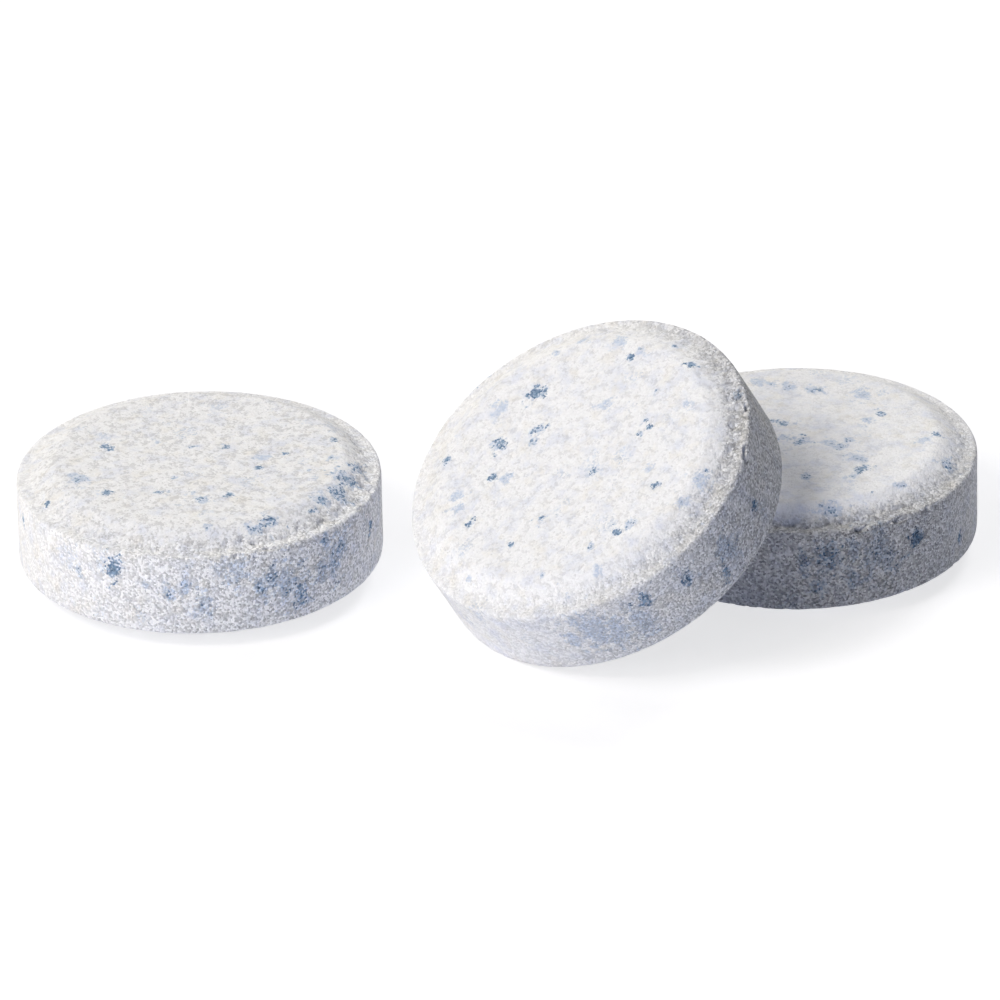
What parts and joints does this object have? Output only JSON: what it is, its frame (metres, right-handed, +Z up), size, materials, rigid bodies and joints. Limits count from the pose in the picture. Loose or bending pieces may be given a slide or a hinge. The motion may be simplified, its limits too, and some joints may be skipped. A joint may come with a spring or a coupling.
{
  "type": "set of cleaning tablets",
  "caption": "Round pressed-powder cleaning tablets with sloped rims, white with blue specks, lying flat and leaning on one another.",
  "frame": {"origin": "on the surface that the tablets lie on, under the middle of the group's bounding box", "axes": "+Z up from that surface; +X from the tablet that lies alone towards the pair; +Y from the leaning tablet's lowest edge towards the back"},
  "size_m": [0.0948, 0.0504, 0.026],
  "materials": {
    "pressed_powder": "matte"
  },
  "bodies": {
    "root": {"tablet_left": "pressed_powder", "tablet_leaning": "pressed_powder", "tablet_right": "pressed_powder"}
  },
  "joints": []
}
